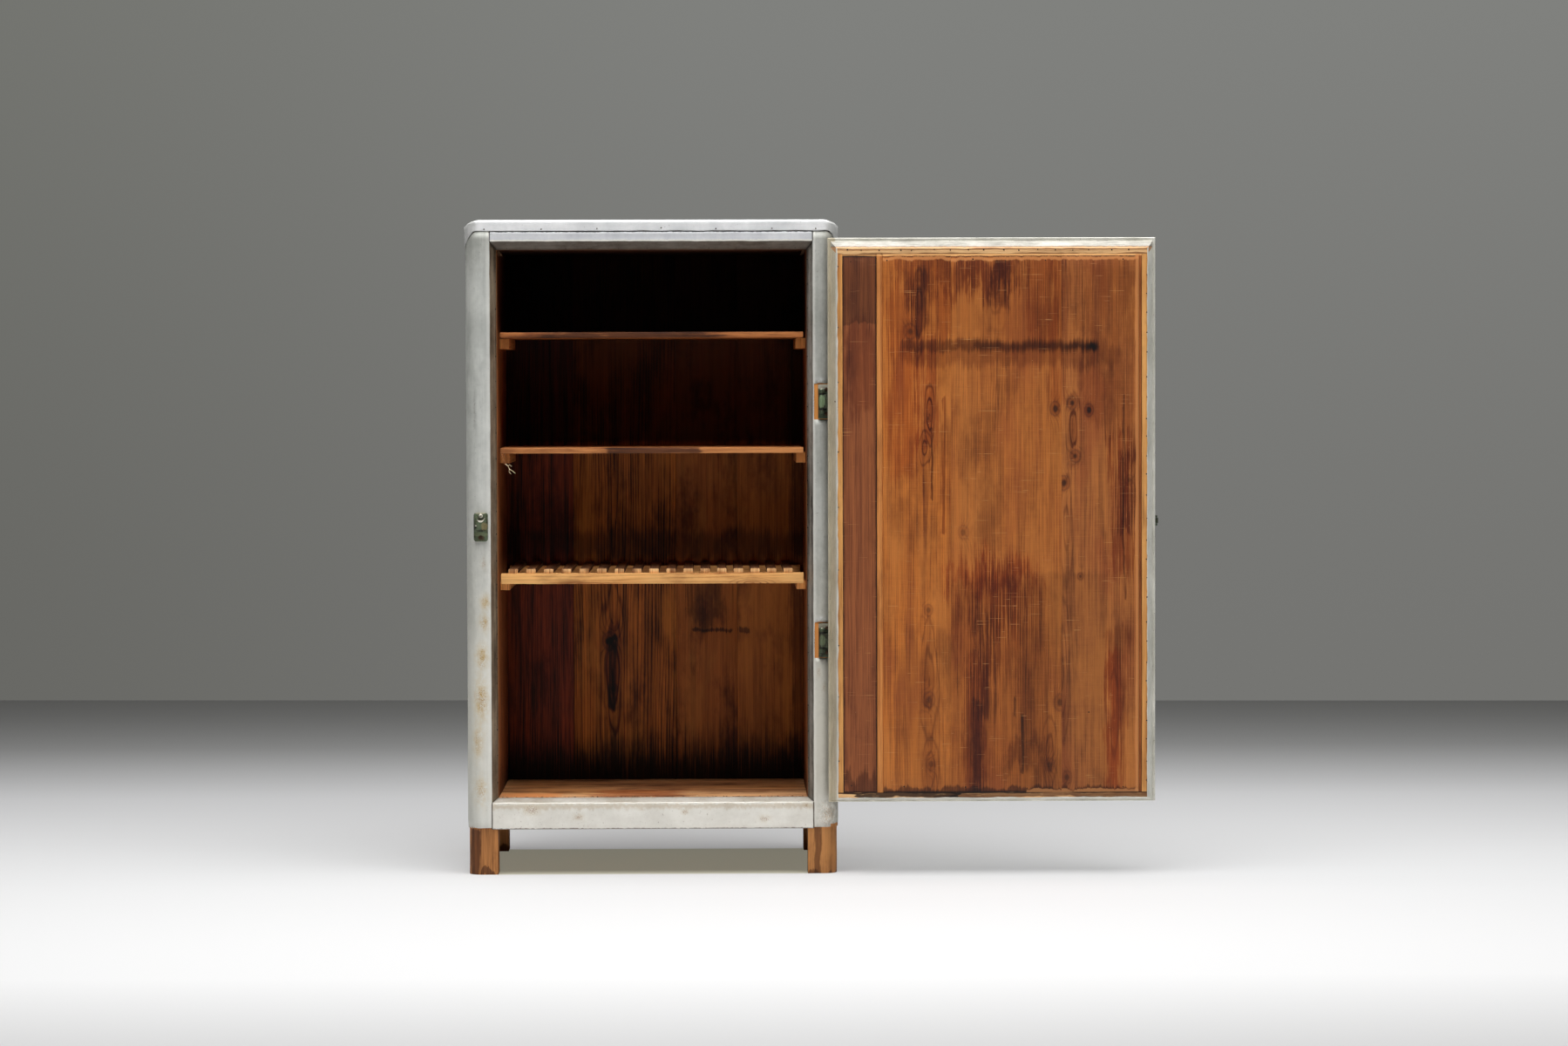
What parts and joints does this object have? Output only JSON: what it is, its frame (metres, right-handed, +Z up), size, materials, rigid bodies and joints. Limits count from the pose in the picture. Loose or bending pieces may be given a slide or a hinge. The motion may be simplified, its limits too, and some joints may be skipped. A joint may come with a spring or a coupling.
{
  "type": "pie safe",
  "caption": "Zinc-clad pine pantry cupboard on bare feet, rounded front corners, splayed opening, one bevelled plug door, board and slatted shelves, cast latch.",
  "frame": {"origin": "on the floor at the middle of the cabinet's footprint, without the open door", "axes": "+X to the right seen from the front, the front faces -Y, +Z up"},
  "size_m": [1.3006, 0.5145, 1.229],
  "materials": {
    "zinc_sheet": "dull, oxidised",
    "cast_brass": "verdigris",
    "steel_fastener": "tarnished",
    "carcass_pine": "aged, bare",
    "door_pine": "aged, shellacked",
    "slat_pine": "aged, bare"
  },
  "bodies": {
    "carcass": {"back_board_1": "carcass_pine", "back_board_2": "carcass_pine", "back_board_3": "carcass_pine", "back_board_4": "carcass_pine", "ceiling_board": "carcass_pine", "floor_board": "carcass_pine", "front_left_post": "carcass_pine", "front_right_post": "carcass_pine", "header_cladding": "zinc_sheet", "header_rail": "carcass_pine", "keeper": "cast_brass", "keeper_screws": "steel_fastener", "left_cladding": "zinc_sheet", "left_lining": "carcass_pine", "left_side_boards": "carcass_pine", "left_side_rails": "carcass_pine", "lower_cleats": "carcass_pine", "lower_hinge_pin": "cast_brass", "lower_post_leaf": "cast_brass", "middle_cleats": "carcass_pine", "middle_shelf": "carcass_pine", "post_leaf_screws": "steel_fastener", "rear_left_post": "carcass_pine", "rear_rails": "carcass_pine", "rear_right_post": "carcass_pine", "rear_sheathing": "carcass_pine", "right_cladding": "zinc_sheet", "right_lining": "carcass_pine", "right_side_boards": "carcass_pine", "right_side_rails": "carcass_pine", "shelf_slats": "slat_pine", "sill_cladding": "zinc_sheet", "sill_rail": "carcass_pine", "slat_front_rail": "slat_pine", "slat_rear_rail": "slat_pine", "top_board": "carcass_pine", "top_cap": "zinc_sheet", "upper_cleats": "carcass_pine", "upper_hinge_pin": "cast_brass", "upper_post_leaf": "cast_brass", "upper_shelf": "carcass_pine"},
    "door": {"door_beads": "door_pine", "door_board_1": "door_pine", "door_board_2": "door_pine", "door_board_3": "door_pine", "door_bottom_batten": "door_pine", "door_core_boards": "door_pine", "door_hinge_stile": "door_pine", "door_latch_stile": "door_pine", "door_leaf_screws": "steel_fastener", "door_narrow_board": "door_pine", "door_skin": "zinc_sheet", "door_top_batten": "door_pine", "latch_base": "cast_brass", "latch_pin": "cast_brass", "latch_screws": "steel_fastener", "latch_spring": "steel_fastener", "lower_door_leaf": "cast_brass", "upper_door_leaf": "cast_brass"},
    "latch_lever": {"latch_lever": "cast_brass"}
  },
  "joints": [
    {"name": "door_hinge", "type": "hinge", "parent": "carcass", "child": "door", "pos_m": [0.3181, -0.245, 0.6635], "axis": [0, 0, -1], "range_deg": [-8, 180]},
    {"name": "latch_pivot", "type": "hinge", "parent": "door", "child": "latch_lever", "pos_m": [0.9397, -0.232, 0.663], "axis": [0, 0, -1], "range_deg": [0, 22], "stiffness_Nm_per_rad": 0.25, "springref_deg": -17.19}
  ]
}
